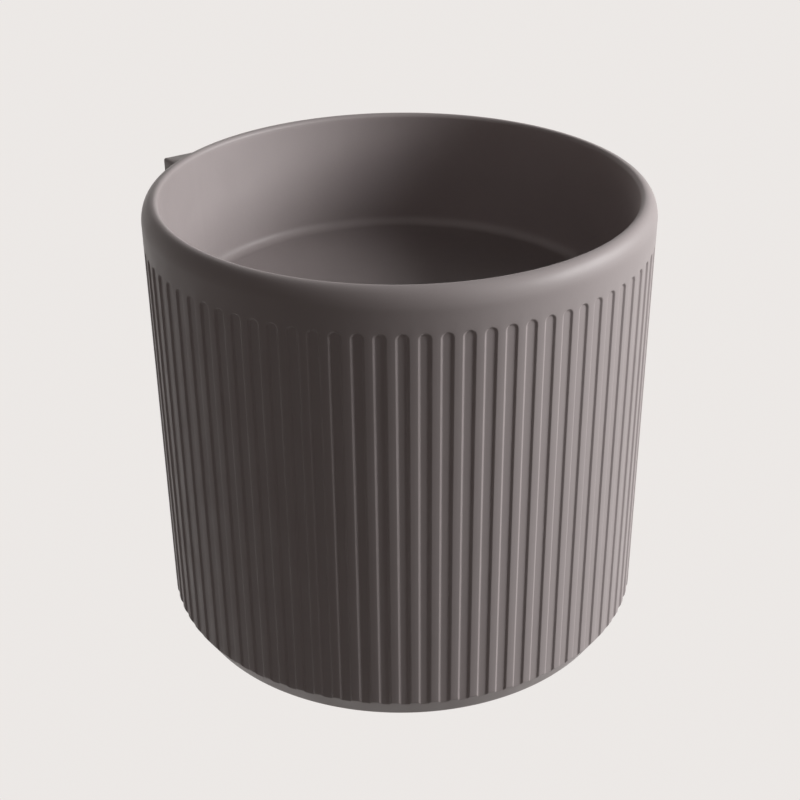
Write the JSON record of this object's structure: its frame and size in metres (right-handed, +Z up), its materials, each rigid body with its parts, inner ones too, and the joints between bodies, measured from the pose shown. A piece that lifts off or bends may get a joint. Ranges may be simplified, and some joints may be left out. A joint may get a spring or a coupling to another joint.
{
  "type": "wall hung basin",
  "caption": "Round drum-shaped wall hung basin with upright flutes round a tall side, a deep straight bowl, a rear block to the wall, and its push-open waste and bottle trap inside.",
  "frame": {"origin": "on the wall's face, midway between the two hanger bolts", "axes": "+Z up, +Y into the wall, so the basin stands out towards -Y, and +X to the right of whoever faces the basin"},
  "size_m": [0.4, 0.47, 0.368],
  "materials": {
    "glaze": "matt warm grey glaze",
    "plug_coating": "matt warm grey coating on brass",
    "polished": "polished",
    "brass": "turned",
    "zinc": "zinc plated",
    "spring_wire": "drawn wire",
    "rubber": "plain",
    "plain_plastic": "moulded",
    "white_plastic": "moulded"
  },
  "bodies": {
    "basin": {"basin_body": "glaze", "waste_body": "polished", "waste_back_nut": "brass", "waste_slip_washer": "plain_plastic", "waste_top_seal": "rubber", "waste_cone_seal": "rubber", "click_cartridge": "plain_plastic", "click_spring": "spring_wire", "trap_inlet_seal": "rubber", "trap_top_seal": "rubber", "trap_cup_seal": "rubber", "trap_outlet_seal": "rubber", "trap_inlet_tube": "white_plastic", "trap_inlet_nut": "white_plastic", "trap_body": "white_plastic", "trap_top_nut": "white_plastic", "trap_cup": "white_plastic", "trap_outlet_nut": "white_plastic", "waste_pipe": "white_plastic", "wall_rosette": "white_plastic", "hanger_bolt_left": "zinc", "bolt_nut_left": "zinc", "bolt_washer_left": "zinc", "bolt_sleeve_left": "plain_plastic", "hanger_bolt_right": "zinc", "bolt_nut_right": "zinc", "bolt_washer_right": "zinc", "bolt_sleeve_right": "plain_plastic"},
    "plug": {"plug_cap": "plug_coating", "plug_seal": "rubber", "click_plunger": "polished"}
  },
  "joints": [
    {"name": "plug_slide", "type": "slide", "parent": "basin", "child": "plug", "axis": [0, 0, 1], "range_m": [0, 0.008], "deforming": ["click_spring"]}
  ]
}
